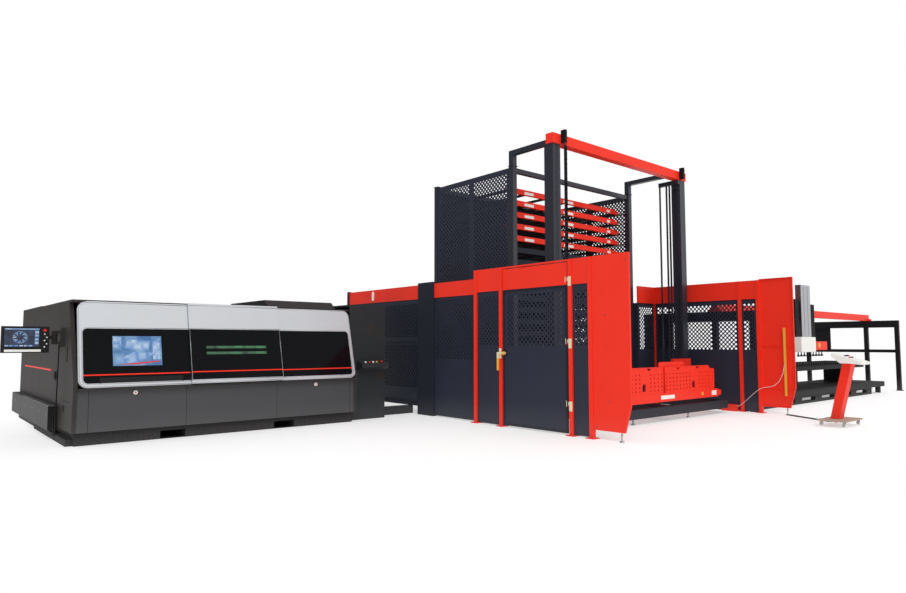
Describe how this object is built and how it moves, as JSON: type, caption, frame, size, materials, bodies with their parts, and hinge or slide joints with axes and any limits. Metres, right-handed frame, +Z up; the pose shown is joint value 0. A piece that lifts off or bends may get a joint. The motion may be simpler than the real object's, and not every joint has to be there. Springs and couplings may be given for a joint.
{
  "type": "fiber laser cutting line with storage tower",
  "caption": "Laser cutting line: glazed cutter cabin, guard fence with gate, tall tray tower with sheet lift, take-out loader and wheeled console.",
  "frame": {"origin": "on the floor under the middle of the left fence end post, at the centre of its foot plate holes", "axes": "+X along the line to the loader, +Y away from the operator, +Z up"},
  "size_m": [24.04, 12.2248, 5.78],
  "materials": {
    "black_steel": "satin black paint",
    "charcoal_cover": "textured charcoal powder coat",
    "grey_panel": "textured grey powder coat",
    "silver_frame": "silver metallic paint",
    "black_glass": "dark laser safety glazing",
    "navy_steel": "satin near-black blue paint",
    "red_paint": "satin bright red paint",
    "red_plastic": "gloss red plastic",
    "black_plastic": "matte black plastic",
    "black_rubber": "black cable sheath",
    "bare_steel": "bare steel",
    "pale_latch": "pale yellow paint",
    "yellow_paint": "yellow paint",
    "white_rubber": "pale cable sheath",
    "white_paint": "white paint"
  },
  "bodies": {
    "line": {"machine_base": "black_steel", "machine_frame": "charcoal_cover", "side_cover": "charcoal_cover", "skirt_panels": "grey_panel", "front_frame_left": "silver_frame", "front_frame_right": "silver_frame", "front_glass": "black_glass", "roof_cover": "charcoal_cover", "back_wall": "charcoal_cover", "end_wall": "charcoal_cover", "end_cover": "navy_steel", "rear_cabinet": "charcoal_cover", "duct_box": "grey_panel", "hmi_bracket": "charcoal_cover", "hmi_cable": "black_rubber", "machine_bed": "bare_steel", "fence_posts": "red_paint", "fence_bands": "red_paint", "fence_sheets_left": "navy_steel", "fence_sheets_rear": "navy_steel", "fence_sheets_right": "navy_steel", "end_panels": "red_paint", "light_curtain": "yellow_paint", "curtain_cable": "white_rubber", "tower_frame": "navy_steel", "tower_sheets": "navy_steel", "lower_trays": "navy_steel", "lift_frame": "navy_steel", "lift_beam": "red_paint", "lift_base": "navy_steel", "loader_deck": "navy_steel", "loader_rails": "navy_steel", "loader_table": "navy_steel", "console_stand": "red_paint", "console_panel": "white_paint"},
    "hatch": {"side_hatch": "charcoal_cover"},
    "front_door": {"door_frame": "silver_frame", "door_glass": "black_glass"},
    "button_left": {"front_button_left": "red_plastic"},
    "button_right": {"front_button_right": "red_plastic"},
    "shelf_stop": {"shelf_button": "red_plastic"},
    "hmi_swing_arm": {"hmi_arm": "charcoal_cover"},
    "hmi_screen": {"hmi_panel": "black_plastic"},
    "hmi_stop": {"hmi_button": "red_plastic"},
    "pallet_shuttle": {"pallet": "bare_steel"},
    "gantry": {"gantry_beam": "silver_frame"},
    "head_slide": {"head_carriage": "charcoal_cover"},
    "head": {"cutting_head": "bare_steel"},
    "gate": {"gate_leaf": "navy_steel"},
    "latch": {"gate_latch": "pale_latch"},
    "tray_a": {"tray_1": "red_paint"},
    "tray_b": {"tray_2": "red_paint"},
    "tray_c": {"tray_3": "red_paint"},
    "tray_d": {"tray_4": "red_paint"},
    "tray_e": {"tray_5": "red_paint"},
    "carriage": {"lift_carriage": "red_paint", "lift_plates": "red_paint"},
    "bridge": {"loader_bridge": "red_paint"},
    "trolley": {"loader_trolley": "navy_steel"},
    "gripper": {"gripper_head": "white_paint"}
  },
  "joints": [
    {"name": "door_slide", "type": "slide", "parent": "line", "child": "front_door", "axis": [-1, 0, 0], "range_m": [0, 1.45]},
    {"name": "hatch_hinge", "type": "hinge", "parent": "line", "child": "hatch", "pos_m": [-6.685, 4.575, 0.43], "axis": [0, 0, 1], "range_deg": [0, 95]},
    {"name": "button_left_push", "type": "slide", "parent": "line", "child": "button_left", "axis": [0, 1, 0], "range_m": [0, 0.004], "stiffness_N_per_m": 800},
    {"name": "button_right_push", "type": "slide", "parent": "line", "child": "button_right", "axis": [0, 1, 0], "range_m": [0, 0.004], "stiffness_N_per_m": 800},
    {"name": "shelf_stop_push", "type": "slide", "parent": "line", "child": "shelf_stop", "axis": [0, 0.3861, -0.9224], "range_m": [0, 0.004], "stiffness_N_per_m": 800},
    {"name": "hmi_swing", "type": "hinge", "parent": "line", "child": "hmi_swing_arm", "pos_m": [-6.81, 5.45, 1.65], "axis": [0, 0, 1], "range_deg": [-60, 45]},
    {"name": "hmi_tilt", "type": "hinge", "parent": "hmi_swing_arm", "child": "hmi_screen", "pos_m": [-7.21, 5.45, 1.65], "axis": [1, 0, 0], "range_deg": [-20, 20]},
    {"name": "hmi_stop_push", "type": "slide", "parent": "hmi_screen", "child": "hmi_stop", "axis": [0, 1, 0], "range_m": [0, 0.004], "stiffness_N_per_m": 800},
    {"name": "pallet_travel", "type": "slide", "parent": "line", "child": "pallet_shuttle", "axis": [1, 0, 0], "range_m": [0, 2.2]},
    {"name": "gantry_travel", "type": "slide", "parent": "line", "child": "gantry", "axis": [1, 0, 0], "range_m": [0, 3.9]},
    {"name": "head_cross", "type": "slide", "parent": "gantry", "child": "head_slide", "axis": [0, 1, 0], "range_m": [-0.1, 1.2]},
    {"name": "head_lift", "type": "slide", "parent": "head_slide", "child": "head", "axis": [0, 0, 1], "range_m": [-0.07, 0.1]},
    {"name": "gate_swing", "type": "hinge", "parent": "line", "child": "gate", "pos_m": [0, 0.4765, 1.2], "axis": [0, 0, 1], "range_deg": [0, 100]},
    {"name": "latch_turn", "type": "hinge", "parent": "gate", "child": "latch", "pos_m": [0, 1.9805, 1.37], "axis": [1, 0, 0], "range_deg": [0, 90]},
    {"name": "lift_travel", "type": "slide", "parent": "line", "child": "carriage", "axis": [0, 0, -1], "range_m": [-4, 0]},
    {"name": "tray_a_pull", "type": "slide", "parent": "line", "child": "tray_a", "axis": [0, -1, 0], "range_m": [0, 2.2]},
    {"name": "tray_b_pull", "type": "slide", "parent": "line", "child": "tray_b", "axis": [0, -1, 0], "range_m": [0, 2.2]},
    {"name": "tray_c_pull", "type": "slide", "parent": "line", "child": "tray_c", "axis": [0, -1, 0], "range_m": [0, 2.2]},
    {"name": "tray_d_pull", "type": "slide", "parent": "line", "child": "tray_d", "axis": [0, -1, 0], "range_m": [0, 2.2]},
    {"name": "tray_e_pull", "type": "slide", "parent": "line", "child": "tray_e", "axis": [0, -1, 0], "range_m": [0, 2.2]},
    {"name": "bridge_travel", "type": "slide", "parent": "line", "child": "bridge", "axis": [0, 1, 0], "range_m": [-0.6, 1.6]},
    {"name": "trolley_travel", "type": "slide", "parent": "bridge", "child": "trolley", "axis": [1, 0, 0], "range_m": [-3.3, 4.4]},
    {"name": "gripper_lift", "type": "slide", "parent": "trolley", "child": "gripper", "axis": [0, 0, 1], "range_m": [-0.19, 0.6]}
  ]
}
